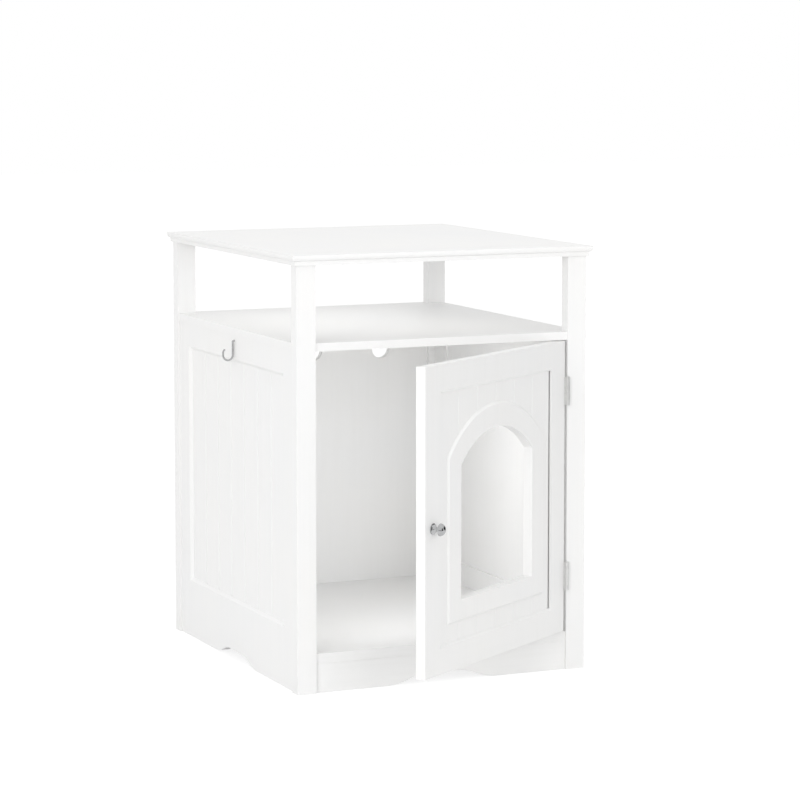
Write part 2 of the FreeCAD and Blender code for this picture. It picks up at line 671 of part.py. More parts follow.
def dowels():
    sides = []
    backs = []
    aprons = []
    shelves = []
    rows = range(int(number("dowel_rows")))
    pitch = f"({UNDER_SHELF} / dowel_rows)"
    middle_x = "(width / 2 - panel_inset - board_thick / 2)"
    for face, sign in (("left", "-"), ("right", "")):
        x = sign + middle_x
        for end, way in (("front", "-Y"), ("rear", "+Y")):
            inner = f"({way[0]}({POST_Y} + dowel_in_post - dowel_long))"
            for row in rows:
                start = (x, inner, f"{pitch} * ({row} + 0.5)")
                boards = (f"{face}_{end}_stile", f"post_{end}_{face}")
                sides.append(peg(f"side_{face}_{end}_{row}", start, way, "dowel_radius", "dowel_long", boards))
        for place in ("-", ""):
            start = (x, place + "shelf_dowel_offset", f"{UNDER_SHELF} + dowel_in_shelf - dowel_long")
            shelves.append(peg(f"shelf_{face}_{len(shelves)}", start, "+Z", "dowel_radius", "dowel_long",
                               (f"{face}_top_rail", "shelf_panel")))
        way = sign.replace("-", "-X") or "+X"
        inner = f"{sign}({POST_X} + thin_dowel_in_post - thin_dowel_long)"
        for row in rows:
            start = (inner, f"{BACK_Y} + back_thick / 2", f"{pitch} * ({row} + 0.5) + 3 * dowel_radius")
            backs.append(peg(f"back_{face}_{row}", start, way, "thin_dowel_radius", "thin_dowel_long",
                             ("back_panel", f"post_rear_{face}")))
        start = (inner, f"{APRON_Y} + board_thick / 2", "floor_under / 2")
        aprons.append(peg(f"apron_{face}", start, way, "thin_dowel_radius", "thin_dowel_long",
                          ("front_apron", f"post_front_{face}")))
    keep("side_dowels", group("side_dowel_group", sides))
    keep("back_dowels", group("back_dowel_group", backs))
    keep("apron_dowels", group("apron_dowel_group", aprons))
    keep("shelf_dowels", group("shelf_dowel_group", shelves))


def cam(name, edge, way, mouth, mouth_way, held, holder):
    """A bolt that stands out of one board and a disc, in the next, that draws it in.

    edge is the point where the bolt crosses from the first board to the second, going the given
    way. mouth is the face of the second board that the disc is pressed into, on the line through
    the bolt, and mouth_way points into the board.
    """
    head_play = "0.5"
    start = step(edge, way, "-bolt_grip")
    shank = peg(name + "_shank", start, way, "bolt_radius", "bolt_grip + cam_reach - bolt_head_radius",
                (held, holder))
    head = rod(name + "_head", step(edge, way, "cam_reach - bolt_head_radius"), way,
               "bolt_head_radius", "2 * bolt_head_radius")
    bolt = fuse(name + "_bolt", [shank, head])
    disc = rod(name + "_round", mouth, mouth_way, "cam_radius", "cam_deep")
    seat = rod(name + "_seat", mouth, mouth_way, "cam_radius + hole_play", "cam_deep + hole_play")
    cutters[holder].append(seat)
    reach = f"cam_radius + bolt_head_radius + {head_play}"
    hollow = rod(name + "_hollow", step(edge, way, "cam_reach - cam_radius"), way, "cam_slot_radius", reach)
    return bolt, cut(name + "_disc", disc, [hollow])


def cams():
    pairs = []
    for face, sign in (("left", "-"), ("right", "")):
        out = sign.replace("-", "-X") or "+X"
        inward = "+X" if sign else "-X"
        for end, place in (("front", "-"), ("rear", "")):
            name = f"{end}_{face}"
            post_x = f"{sign}(width / 2 - post_wide / 2)"
            rear_face = f"(-{POST_Y})" if place else "(depth / 2)"
            post_y = f"({rear_face} - cam_deep + cam_radius - bolt_head_radius)"
            level = f"({UNDER_TOP} - cam_reach)"
            pairs.append(cam("top_cam_" + name, (post_x, post_y, UNDER_TOP), "-Z",
                             (post_x, rear_face, level), "-Y", "top_panel", "post_" + name))
            y = f"{place}cam_offset"
            middle = "(floor_under + floor_thick / 2)"
            disc_x = f"{sign}({IN_X} - cam_reach)"
            pairs.append(cam("floor_cam_" + name, (sign + IN_X, y, middle), inward,
                             (disc_x, y, "floor_under"), "+Z", face + "_bottom_rail", "floor_panel"))
            rail_x = f"{sign}(width / 2 - panel_inset - board_thick / 2)"
            disc_z = f"({UNDER_SHELF} - cam_reach)"
            pairs.append(cam("shelf_cam_" + name, (rail_x, y, UNDER_SHELF), "-Z",
                             (sign + IN_X, y, disc_z), out, "shelf_panel", face + "_top_rail"))
    keep("cam_bolts", group("cam_bolt_group", [bolt for bolt, disc in pairs]))
    keep("cam_discs", group("cam_disc_group", [disc for bolt, disc in pairs]))


def screw(name, start, way, radius, head_radius, length):
    """A countersunk screw whose head is flush at its start."""
    sink = f"({head_radius} - ({radius}))"
    head = taper(name + "_head", start, way, head_radius, radius, sink)
    shank = rod(name + "_shank", step(start, way, sink), way, radius, f"{length} - {sink}")
    return fuse(name, [head, shank])


def screw_hole(name, start, way, radius, head_radius, length, boards):
    """The countersunk hole for such a screw in each board that it goes through."""
    sink = f"({head_radius} - ({radius}))"
    mouth = taper(name + "_mouth", start, way, f"{head_radius} + hole_play", f"{radius} + hole_play", sink)
    bore = rod(name + "_bore", start, way, f"{radius} + hole_play", f"{length} + hole_play")
    for board in boards:
        cutters.setdefault(board, []).extend([mouth, bore])


def back_screws():
    screws = []
    for place in (-1, 0, 1):
        start = (f"{place} * back_screw_pitch", "(depth / 2 - panel_inset)", "(floor_under + floor_thick / 2)")
        data = ("-Y", "back_screw_radius", "back_screw_head", "back_screw_long")
        screws.append(screw(f"back_screw_{place + 1}", start, *data))
        screw_hole(f"back_screw_hole_{place + 1}", start, *data, ("back_panel", "floor_panel"))
    keep("back_screws", group("back_screw_group", screws))


# ---------------------------------------------------------------- hinges


def hinge(level, middle):
    """A butt hinge: two leaves let into post and door, with their knuckles round one pin."""
    low = f"({middle} - hinge_long / 2)"
    pitch = "(hinge_long / knuckles)"
    rear = f"({HINGE_Y} + leaf_deep)"
    whole = (low, f"({middle} + hinge_long / 2)")
    plates = {"post": (POST_X, f"({POST_X} + leaf_thick)"), "door": (f"({DOOR_RIGHT} - leaf_thick)", DOOR_RIGHT)}
    wood = {"post": "post_front_right", "door": "door_hinge_stile"}
    way = {"post": "+X", "door": "-X"}
    face = {"post": POST_X, "door": DOOR_RIGHT}
    count = int(number("knuckles"))
    axis = (HINGE_X, HINGE_Y)
    for owner, plate in plates.items():
        name = f"{level}_hinge_{owner}"
        sheet_metal = box(name + "_plate", plate, (HINGE_Y, rear), whole)
        own = 0 if owner == "post" else 1
        gaps = []
        barrels = []
        for index in range(count):
            base = f"({low} + {index} * {pitch})"
            if index % 2 == own:
                start = axis + (f"({base} + knuckle_play / 2)",)
                barrels.append(rod(f"{name}_knuckle_{index}", start, "+Z", "barrel_radius",
                                   f"{pitch} - knuckle_play"))
            else:
                start = axis + (f"({base} - knuckle_play / 2)",)
                gaps.append(rod(f"{name}_gap_{index}", start, "+Z", "barrel_radius + 2 * knuckle_play",
                                f"{pitch} + knuckle_play"))
        leaf = fuse(name + "_solid", [cut(name + "_notched", sheet_metal, gaps)] + barrels)
        play = "pin_play" if owner == "door" else "pin_play / 3"
        bore = rod(name + "_bore", axis + (low,), "+Z", f"pin_radius + {play}", "hinge_long")
        blanks[name + "_leaf"] = cut(name + "_blank", leaf, [bore])
        stepped(name + "_mortise", wood[owner], plate, (HINGE_Y, rear), whole)
        screws = []
        for index, sign in enumerate("-+"):
            start = (face[owner], f"({HINGE_Y} + leaf_screw_deep)", f"({middle} {sign} leaf_screw_rise)")
            data = (way[owner], "small_screw_radius", "small_head_radius", "small_screw_long")
            screws.append(screw(f"{name}_screw_{index}", start, *data))
            screw_hole(f"{name}_screw_hole_{index}", start, *data, (name + "_leaf", wood[owner]))
        hinge_screws[owner].extend(screws)
    shaft = rod(level + "_pin_shaft", axis + (low,), "+Z", "pin_radius", "hinge_long")
    head = rod(level + "_pin_head", axis + (whole[1],), "+Z", "pin_head_radius", "pin_head_tall")
    keep(level + "_hinge_pin", fuse(level + "_pin", [shaft, head]))


hinge_screws = {"post": [], "door": []}

# ---------------------------------------------------------------- knob, hook, latch


def knob():
    """A turned knob: a belled foot, a slim neck and a mushroom head, on a screw from inside."""
    middle_x = f"({DOOR_LEFT} + door_rail / 2)"
    body = doc.addObject("PartDesign::Body", "knob_body")
    bell = "(knob_foot + knob_bell)"
    throat = f"({bell} + knob_neck)"
    flare = f"({throat} + knob_flare)"
    rim = f"({flare} + knob_rim)"
    dome = f"(knob_reach - {rim})"
    outline = (
        ("knob_screw_radius + hole_play", "0"),
        ("knob_base_radius", "0"),
        ("knob_base_radius", "-knob_foot"),
        ("knob_neck_radius", f"-{bell}", "-knob_bell_radius"),
        ("knob_neck_radius", f"-{throat}"),
        ("knob_head_radius", f"-{flare}", "-knob_flare_radius"),
        ("knob_head_radius", f"-{rim}"),
        ("0", "-knob_reach", f"(knob_head_radius ^ 2 + {dome} ^ 2) / (2 * {dome})"),
        ("0", "-knob_bore_deep"),
        ("knob_screw_radius + hole_play", "-knob_bore_deep"),
    )
    turned = body.newObject("PartDesign::Revolution", "knob_turned")
    profile = draw(body, "knob_outline", "XY", outline)
    turned.Profile = profile
    turned.ReferenceAxis = (profile, ["V_Axis"])
    turned.Angle = 360
    body.Placement.Rotation = FreeCAD.Rotation(FreeCAD.Vector(0, 0, 1), number("open_angle"))
    level = f"({DOOR_LOW} + knob_rise)"
    keep("door_knob", swing(body, middle_x, DOOR_FACE, level))
    inside = f"({DOOR_FACE} + door_thick)"
    start = (middle_x, inside, level)
    shank = peg("knob_screw_shank", start, "-Y", "knob_screw_radius",
                "door_thick + knob_bore_deep - 1", ("door_latch_stile",))
    head = rod("knob_screw_head_round", start, "+Y", "knob_screw_head", "knob_screw_head_tall")
    keep("knob_screw", on_door(fuse("knob_screw_solid", [head, shank])))


def hook():
    """A wire hook: bent out of the rail, down along it, and round and up to a tip that leans in."""
    body = doc.addObject("PartDesign::Body", "hook_body")
    shank_x = "(-(hook_neck))"
    foot = "(-hook_neck - hook_shank)"
    tip_x = "(-hook_neck - 2 * hook_bend)"
    bottom = "(-hook_neck - hook_bend)"
    path = (
        ("hook_seat", "0"),
        ("0", "0"),
        (shank_x, shank_x, "-hook_neck"),
        (shank_x, foot),
        (bottom, f"({foot} - hook_bend)", "hook_bend"),
        (tip_x, foot, "hook_bend"),
        (tip_x, f"({foot} + hook_tip)"),
        (f"({tip_x} + hook_bend - sqrt(hook_bend ^ 2 - hook_curl ^ 2))", f"({foot} + hook_tip + hook_curl)",
         "hook_bend"),
    )
    spine = draw(body, "hook_path", "XZ", path, closed=False)
    ring = body.newObject("Sketcher::SketchObject", "hook_section")
    plane = [face for face in body.Origin.OriginFeatures if face.Role == "YZ_Plane"]
    ring.AttachmentSupport = [(plane[0], "")]
    ring.MapMode = "FlatFace"
    ring.setExpression("AttachmentOffset.Base.z", formula("hook_seat"))
    centre = FreeCAD.Vector(0, 0, 0)
    ring.addGeometry(Part.Circle(centre, FreeCAD.Vector(0, 0, 1), number("hook_wire")), False)
    ring.addConstraint(Sketcher.Constraint("Coincident", 0, 3, -1, 1))
    tie(ring, ("Radius", 0, number("hook_wire")), "hook_wire")
    wire = body.newObject("PartDesign::AdditivePipe", "hook_wire_bent")
    wire.Profile = ring
    wire.Spine = (spine, [f"Edge{index + 1}" for index in range(len(path) - 1)])
    rail_face = f"(-{OUT_X} - hook_wire)"
    seat_z = f"({UNDER_SHELF} - hook_drop)"
    put(body, rail_face, "hook_place", seat_z)
    keep("scoop_hook", body)
    start = (rail_face, "hook_place", seat_z)
    seat = rod("hook_hole", start, "+X", "hook_wire + hole_play", "hook_seat + hole_play")
    cutters["left_top_rail"].append(seat)


def latch():
    """A magnet in the post and, facing it with the door closed, a steel disc in the door's edge."""
    middle = f"({DOOR_FACE} + door_thick / 2)"
    level = f"({DOOR_LOW} + latch_rise)"
    seats = (
        ("latch_magnet", "-" + POST_X, "magnet_radius", "magnet_long", "magnet_proud", "post_front_left"),
        ("latch_disc", DOOR_LEFT, "disc_radius", "disc_thick", "0", "door_latch_stile"),
    )
    for name, face, radius, length, proud, board in seats:
        way = "-X" if name == "latch_magnet" else "+X"
        start = step((face, middle, level), way, f"-({proud})")
        hole = rod(name + "_seat", (face, middle, level), way, f"{radius} + press_play",
                   f"{length} - {proud} + press_play")
        cutters.setdefault(board, []).append(hole)
        keep(name, group(name + "_piece", [rod(name + "_round", start, way, radius, length)]))
    on_door(parts["latch_disc"])


# ---------------------------------------------------------------- assembly


def finish_boards():
    """Bore every board for its fasteners and stand the door's boards open."""
    for name, blank in blanks.items():
        tools = cutters.get(name, [])
        item = cut(name + "_bored", blank, tools) if tools else blank
        keep(name, item)
        if name.startswith("door_") or name in DOOR_LEAVES:
            on_door(item)


DOOR_LEAVES = ("upper_hinge_door_leaf", "lower_hinge_door_leaf")


def build():
    top_board()
    posts()
    shelf_and_floor()
    back_board()
    apron()
    side("left")
    side("right")
    door()
    surround()
    dowels()
    cams()
    back_screws()
    hinge("upper", f"({DOOR_HIGH} - hinge_drop)")
    hinge("lower", f"({DOOR_LOW} + hinge_rise)")
    keep("hinge_post_screws", group("hinge_post_screw_group", hinge_screws["post"]))
    keep("hinge_door_screws", on_door(group("hinge_door_screw_group", hinge_screws["door"])))
    knob()
    hook()
    latch()
    finish_boards()
    doc.recompute()


def check():
    """Stop if any step of the model failed or any piece isn't a valid solid."""
    for item in doc.Objects:
        if "Invalid" in item.State or "Error" in item.State:
            raise RuntimeError(f"{item.Name} failed: {item.State}")
    for name, item in parts.items():
        shape = item.Shape
        if shape.isNull() or not shape.isValid() or not shape.Solids:
            raise RuntimeError(f"{name} is not a valid solid")


def export():
    os.makedirs("parts", exist_ok=True)
    for name, item in parts.items():
        item.Shape.exportStep(f"parts/{name}.step")
        print(name, len(item.Shape.Solids), round(item.Shape.Volume))


build()
check()
export()
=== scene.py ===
"""Looks of the cat litter box cabinet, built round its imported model.

All places are in metres in the model's own frame: X to the right, the front towards -Y, Z up from
the ground. Every board is painted, so the boards of one frame are shown as one piece without
joint lines, and every edge of a board is eased, as paint leaves it.
"""
import math

import bmesh
import bpy
from mathutils import Matrix, Vector


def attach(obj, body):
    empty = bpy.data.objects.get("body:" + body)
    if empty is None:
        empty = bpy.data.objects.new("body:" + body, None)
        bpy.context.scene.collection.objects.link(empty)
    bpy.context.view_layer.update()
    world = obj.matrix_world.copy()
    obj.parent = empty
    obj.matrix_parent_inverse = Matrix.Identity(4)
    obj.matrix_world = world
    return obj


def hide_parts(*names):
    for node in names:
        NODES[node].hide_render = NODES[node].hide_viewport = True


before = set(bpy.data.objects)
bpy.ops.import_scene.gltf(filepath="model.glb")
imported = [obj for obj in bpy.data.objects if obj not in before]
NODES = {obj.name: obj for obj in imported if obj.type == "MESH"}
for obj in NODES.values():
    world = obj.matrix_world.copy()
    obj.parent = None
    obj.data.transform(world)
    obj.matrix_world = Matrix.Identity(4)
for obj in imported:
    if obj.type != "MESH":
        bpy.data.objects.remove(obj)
SCENE = bpy.context.scene
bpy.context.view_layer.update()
MM = 0.001

# ---------------------------------------------------------------- camera

VIEW_SIZE = 800                       # the photograph's side, in pixels
SENSOR = 36                           # width of the sensor, in millimetres
FOCAL_PIXELS = 2998.4
HORIZON_SHIFT = -80                   # middle of the view to the optical axis, in pixels
CAMERA_PLACE = (-1.8241, -4.2295, 0.9756)
CAMERA_YAW = math.radians(23.844)     # turned from +Y towards +X
CAMERA_PITCH = math.radians(5.724)    # tilted down


def make_camera():
    """The photograph's view of the cabinet."""
    data = bpy.data.cameras.new("camera")
    camera = bpy.data.objects.new("camera", data)
    SCENE.collection.objects.link(camera)
    data.sensor_width = SENSOR
    data.lens = FOCAL_PIXELS / VIEW_SIZE * SENSOR
    data.shift_y = HORIZON_SHIFT / VIEW_SIZE
    data.clip_start = 0.1
    data.clip_end = 100
    forward = Vector((math.sin(CAMERA_YAW) * math.cos(CAMERA_PITCH),
                      math.cos(CAMERA_YAW) * math.cos(CAMERA_PITCH),
                      -math.sin(CAMERA_PITCH)))
    camera.location = CAMERA_PLACE
    camera.rotation_mode = "QUATERNION"
    camera.rotation_quaternion = forward.to_track_quat("-Z", "Y")
    SCENE.camera = camera


# ---------------------------------------------------------------- materials


class Surface:
    """A material under construction: its node tree and its Principled shader."""

    def __init__(self, name, **sockets):
        self.material = bpy.data.materials.new(name)
        self.material.use_nodes = True
        self.tree = self.material.node_tree
        self.shader = self.tree.nodes["Principled BSDF"]
        for socket, value in sockets.items():
            self.shader.inputs[socket.replace("_", " ")].default_value = value
        self.place = self.tree.nodes.new("ShaderNodeTexCoord").outputs["Object"]
        self.relief = None

    def link(self, source, target):
        self.tree.links.new(source, target)

    def noise(self, stretch, detail=3, roughness=0.55, offset=(0, 0, 0)):
        """Noise from 0 to 1, with so many waves per metre along each axis."""
        mapping = self.tree.nodes.new("ShaderNodeMapping")
        mapping.inputs["Scale"].default_value = stretch
        mapping.inputs["Location"].default_value = offset
        texture = self.tree.nodes.new("ShaderNodeTexNoise")
        texture.inputs["Scale"].default_value = 1
        texture.inputs["Detail"].default_value = detail
        texture.inputs["Roughness"].default_value = roughness
        self.link(self.place, mapping.inputs["Vector"])
        self.link(mapping.outputs["Vector"], texture.inputs["Vector"])
        return texture.outputs["Fac"]

    def spread(self, source, low, high, floor=0.3, ceiling=0.7):
        """Carry a noise from floor..ceiling over to low..high."""
        spread = self.tree.nodes.new("ShaderNodeMapRange")
        spread.inputs["From Min"].default_value = floor
        spread.inputs["From Max"].default_value = ceiling
        spread.inputs["To Min"].default_value = low
        spread.inputs["To Max"].default_value = high
        self.link(source, spread.inputs["Value"])
        return spread.outputs["Result"]

    def ramp(self, source, *stops):
        """Colours along a noise; each stop is a position and a colour."""
        ramp = self.tree.nodes.new("ShaderNodeValToRGB")
        elements = ramp.color_ramp.elements
        for index, (position, colour) in enumerate(stops):
            element = elements[index] if index < 2 else elements.new(position)
            element.position = position
            element.color = (*colour, 1)
        self.link(source, ramp.inputs["Fac"])
        return ramp.outputs["Color"]

    def blend(self, first, second, amount, mode="MULTIPLY"):
        """One colour laid over another."""
        mix = self.tree.nodes.new("ShaderNodeMix")
        mix.data_type = "RGBA"
        mix.blend_type = mode
        mix.inputs["Factor"].default_value = amount
        self.link(first, mix.inputs["A"])
        self.link(second, mix.inputs["B"])
        return mix.outputs["Result"]

    def bump(self, source, depth, strength=1.0):
        """Raise the surface by up to a depth in metres, on top of what is there already."""
        bump = self.tree.nodes.new("ShaderNodeBump")
        bump.inputs["Distance"].default_value = depth
        bump.inputs["Strength"].default_value = strength
        self.link(source, bump.inputs["Height"])
        if self.relief is not None:
            self.link(self.relief, bump.inputs["Normal"])
        self.relief = bump.outputs["Normal"]
        self.link(self.relief, self.shader.inputs["Normal"])

    def colour(self, source):
        self.link(source, self.shader.inputs["Base Color"])

    def roughness(self, source):
        self.link(source, self.shader.inputs["Roughness"])


PAINT_WARM = (0.870, 0.866, 0.856)
PAINT_COOL = (0.861, 0.862, 0.861)
PAINT_STREAK = (0.965, 0.965, 0.962)   # the darkest streak, as a share of the paint


def paint(name, grain):
    """Satin white lacquer over a board whose grain runs along an axis: 0, 1 or 2."""
    surface = Surface(name, Specular_IOR_Level=0.42)
    along = [170.0, 170.0, 170.0]
    along[grain] = 5.0
    fine = [900.0, 900.0, 900.0]
    fine[grain] = 26.0
    streaks = surface.noise(along, detail=5, roughness=0.62)
    pores = surface.noise(fine, detail=2, offset=(3.1, 1.7, 5.3))
    cloud = surface.noise((5.0, 5.0, 5.0), detail=4, offset=(7.7, 2.2, 0.4))
    peel = surface.noise((620.0, 620.0, 620.0), detail=1, roughness=0.4)
    base = surface.ramp(cloud, (0.32, PAINT_WARM), (0.68, PAINT_COOL))
    grained = surface.ramp(streaks, (0.36, PAINT_STREAK), (0.56, (1, 1, 1)))
    surface.colour(surface.blend(base, grained, 0.3))
    surface.roughness(surface.spread(surface.blend(cloud, streaks, 0.5, "MIX"), 0.36, 0.5))
    surface.bump(streaks, 0.06 * MM, 0.4)
    surface.bump(pores, 0.03 * MM, 0.4)
    surface.bump(peel, 0.03 * MM, 0.4)
    return surface.material


def nickel():
    """Polished nickel plate with the faint swirls of the polishing wheel."""
    surface = Surface("polished_nickel", Metallic=1.0)
    swirl = surface.noise((700.0, 700.0, 90.0), detail=4)
    cloud = surface.noise((120.0, 120.0, 120.0), detail=2, offset=(2, 5, 1))
    surface.colour(surface.ramp(cloud, (0.3, (0.43, 0.435, 0.44)), (0.7, (0.5, 0.505, 0.51))))
    surface.roughness(surface.spread(swirl, 0.08, 0.2))
    surface.bump(swirl, 0.006 * MM, 0.4)
    return surface.material


def satin_nickel():
    """Nickel plate brushed along Z, lighter and duller than the polished one."""
    surface = Surface("satin_nickel", Metallic=0.82)
    brushed = surface.noise((1500.0, 1500.0, 60.0), detail=4)
    cloud = surface.noise((150.0, 150.0, 150.0), detail=2, offset=(1, 4, 2))
    surface.colour(surface.ramp(cloud, (0.3, (0.72, 0.72, 0.71)), (0.7, (0.8, 0.8, 0.79))))
    surface.roughness(surface.spread(brushed, 0.38, 0.52))
    surface.bump(brushed, 0.012 * MM, 0.5)
    return surface.material


def zinc_plate():
    """Bright zinc plating, slightly blue, with a fine crystalline cloud."""
    surface = Surface("zinc_plated_steel", Metallic=1.0)
    cloud = surface.noise((260.0, 260.0, 260.0), detail=4)
    turned = surface.noise((90.0, 90.0, 1500.0), detail=2)
    surface.colour(surface.ramp(cloud, (0.3, (0.55, 0.58, 0.6)), (0.5, (0.63, 0.64, 0.63)),
                                (0.72, (0.66, 0.64, 0.58))))
    surface.roughness(surface.spread(cloud, 0.22, 0.38))
    surface.bump(turned, 0.02 * MM, 0.5)
    return surface.material


def cast_zinc():
    """Die-cast zinc: dull grey with a pebbled skin."""
    surface = Surface("cast_zinc", Metallic=1.0)
    pebbles = surface.noise((1400.0, 1400.0, 1400.0), detail=2)
    cloud = surface.noise((180.0, 180.0, 180.0), detail=3)
    surface.colour(surface.ramp(cloud, (0.3, (0.38, 0.39, 0.4)), (0.7, (0.5, 0.505, 0.51))))
    surface.roughness(surface.spread(cloud, 0.42, 0.6))
    surface.bump(pebbles, 0.05 * MM, 0.7)
    return surface.material


def beech():
    """Raw beech: pale tan with short dark flecks."""
    surface = Surface("beech_dowel")
    grain = surface.noise((900.0, 90.0, 900.0), detail=5)
    flecks = surface.noise((1600.0, 260.0, 1600.0), detail=2, offset=(4, 1, 6))
    wood = surface.ramp(grain, (0.3, (0.44, 0.27, 0.14)), (0.7, (0.6, 0.41, 0.24)))
    dots = surface.ramp(flecks, (0.34, (0.7, 0.62, 0.52)), (0.42, (1, 1, 1)))
    surface.colour(surface.blend(wood, dots, 0.8))
    surface.roughness(surface.spread(grain, 0.55, 0.75))
    surface.bump(grain, 0.06 * MM, 0.6)
    return surface.material


# ---------------------------------------------------------------- boards

FLAT_BOARDS = ("top_panel", "shelf_panel", "floor_panel", "front_apron")
UPRIGHT_BOARDS = ("post_front_left", "post_front_right", "post_rear_left", "post_rear_right", "back_panel",
                  "left_bead_panel", "right_bead_panel", "door_bead_panel", "door_arch_surround")
FRAMES = {
    "left_side_frame": ("cabinet", ("left_front_stile", "left_rear_stile", "left_bottom_rail", "left_top_rail")),
    "right_side_frame": ("cabinet", ("right_front_stile", "right_rear_stile", "right_bottom_rail",
                                     "right_top_rail")),
    "door_frame": ("door", ("door_latch_stile", "door_hinge_stile", "door_bottom_rail", "door_top_rail")),
}
EASED = 0.7 * MM                      # radius of a board's edges under its paint
BEAD_EASED = 0.35 * MM                # the same on the beadboards, so that their grooves stay sharp
EASED_STEPS = 3
SHARP = math.radians(34)              # an edge that bends less than this isn't eased
FLAT = math.radians(0.4)              # faces that bend less than this are one flat
LARGE_FACES_LEAD = 80                 # how far a large face sets the shading at its edges, of 100
ONE_POINT = 0.002 * MM                # corners closer than this are one
GRID = 0.001 * MM                     # copies of boards are rounded to this before they are joined
HINGE_AXIS = Vector((202.25 * MM, -265.2 * MM, 0))
DOOR_OPEN = math.radians(34.5)        # the door at rest, from closed


def finish_with(piece, material):
    """Give a piece one material all over."""
    piece.data.materials.clear()
    piece.data.materials.append(material)


def ease(piece, radius=EASED):
    """Round the sharp edges of a piece and shade its flats flat."""
    weld = piece.modifiers.new("weld", "WELD")
    weld.merge_threshold = ONE_POINT
    flats = piece.modifiers.new("flats", "DECIMATE")
    flats.decimate_type = "DISSOLVE"
    flats.angle_limit = FLAT
    bevel = piece.modifiers.new("eased_edges", "BEVEL")
    bevel.width = radius
    bevel.segments = EASED_STEPS
    bevel.limit_method = "ANGLE"
    bevel.angle_limit = SHARP
    bevel.use_clamp_overlap = True
    bevel.harden_normals = False
    bevel.miter_outer = "MITER_ARC"
    normals = piece.modifiers.new("flat_faces", "WEIGHTED_NORMAL")
    normals.keep_sharp = False
    normals.weight = LARGE_FACES_LEAD


def baked(piece):
    """A new mesh of a piece as its modifiers leave it."""
    graph = bpy.context.evaluated_depsgraph_get()
    return bpy.data.meshes.new_from_object(piece.evaluated_get(graph))


def rest_turn(body):
    """How the pieces of a body are turned from lying square with the axes."""
    if body != "door":
        return Matrix.Identity(4)
    to_hinge = Matrix.Translation(HINGE_AXIS)
    return to_hinge @ Matrix.Rotation(DOOR_OPEN, 4, "Z") @ to_hinge.inverted()


def join_boards(name, body, members):
    """One painted piece in place of the glued boards of a frame, joined while it lies square."""
    turn = rest_turn(body)
    square = turn.inverted()
    tools = []
    for member in members:
        solid = bmesh.new()
        solid.from_mesh(NODES[member].data)
        for vertex in solid.verts:
            vertex.co = [round(value / GRID) * GRID for value in square @ vertex.co]
        bmesh.ops.remove_doubles(solid, verts=solid.verts, dist=ONE_POINT)
        mesh = bpy.data.meshes.new(f"{name}_{member}")
        solid.to_mesh(mesh)
        solid.free()
        tool = bpy.data.objects.new(f"{name}_{member}", mesh)
        SCENE.collection.objects.link(tool)
        tools.append(tool)
    whole = tools[0]
    for tool in tools[1:]:
        union = whole.modifiers.new("glue", "BOOLEAN")
        union.operation = "UNION"
        union.solver = "EXACT"
        union.object = tool
    bpy.context.view_layer.update()
    piece = bpy.data.objects.new(name, baked(whole))
    piece.data.transform(turn)
    SCENE.collection.objects.link(piece)
    for tool in tools:
        bpy.data.objects.remove(tool)
    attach(piece, body)
    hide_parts(*members)
    return piece


def paint_boards():
    """Paint every board, and the disc that is painted over in the door's edge."""
    upright = paint("white_painted_board", 2)
    flat = paint("white_painted_board_flat", 0)
    for name in FLAT_BOARDS:
        finish_with(NODES[name], flat)
        ease(NODES[name])
    for name in UPRIGHT_BOARDS:
        finish_with(NODES[name], upright)
        ease(NODES[name], BEAD_EASED if "bead" in name else EASED)
    for name, (body, members) in FRAMES.items():
        piece = join_boards(name, body, members)
        finish_with(piece, upright)
        ease(piece)
    finish_with(NODES["latch_disc"], upright)


# ---------------------------------------------------------------- hardware


def fit_hardware():
    """Finish every node that isn't painted."""
    finishes = {"polished_nickel": nickel(), "satin_nickel": satin_nickel(), "zinc_plated_steel": zinc_plate(),
              "cast_zinc": cast_zinc(), "beech_dowel": beech()}
    painted = {"latch_disc", *FLAT_BOARDS, *UPRIGHT_BOARDS}
    for body, members in FRAMES.values():
        painted.update(members)
    for name, node in NODES.items():
        if name not in painted:
            finish_with(node, finishes[hardware_slot(name)])


def hardware_slot(name):
    """The finish of a node that isn't a board."""
    if "dowel" in name:
        return "beech_dowel"
    if name == "cam_discs":
        return "cast_zinc"
    if "screw" in name or name == "cam_bolts":
        return "zinc_plated_steel"
    return "satin_nickel" if "hinge" in name else "polished_nickel"


# ---------------------------------------------------------------- floor and light

SKY = 0.84                            # light from all round
LAMPS = (                             # name, place, aim, width, height, watts; the last two stand inside
    ("key", (-3.4, -3.0, 1.5), (0, 0, 0.4), 1.8, 1.8, 55.5),
    ("front", (0.3, -4.6, 1.3), (0, 0, 0.3), 2.2, 1.6, 28),
    ("overhead", (-0.3, -0.4, 4.2), (0, 0, 0.6), 2.4, 2.4, 19),
    ("inside", (-0.03, -0.225, 0.34), (-0.05, 0.25, 0.24), 0.24, 0.26, 0.58),
    ("under_top", (-0.04, 0.01, 0.622), (-0.04, 0.01, 0), 0.33, 0.41, 0.2),
)
FLAGS = (                             # dark cards that only reflections show, with the same five values
    ("flag_right", (2.6, -0.6, 0.7), (0, -0.3, 0.35), 2.8, 1.9),
    ("flag_front", (1.6, -3.6, 0.9), (0, -0.3, 0.35), 1.6, 2.0),
    ("flag_low", (-0.4, -2.6, 0.01), (-0.4, -2.6, 1), 3.4, 2.2),
    ("flag_rear", (-3.6, 2.2, 0.9), (0, 0, 0.4), 2.4, 2.6),
)
FLAG_BLACK = (0.03, 0.03, 0.03, 1)
FLOOR_HALF = 14.0
FLOOR_BOUNCE = (0.80, 0.80, 0.80)
FLOOR_SEEN = (0.24, 0.24, 0.24)       # share of its light that the camera sees on the floor
FLOOR_WHITE = 0.84                    # the rest of the floor's white


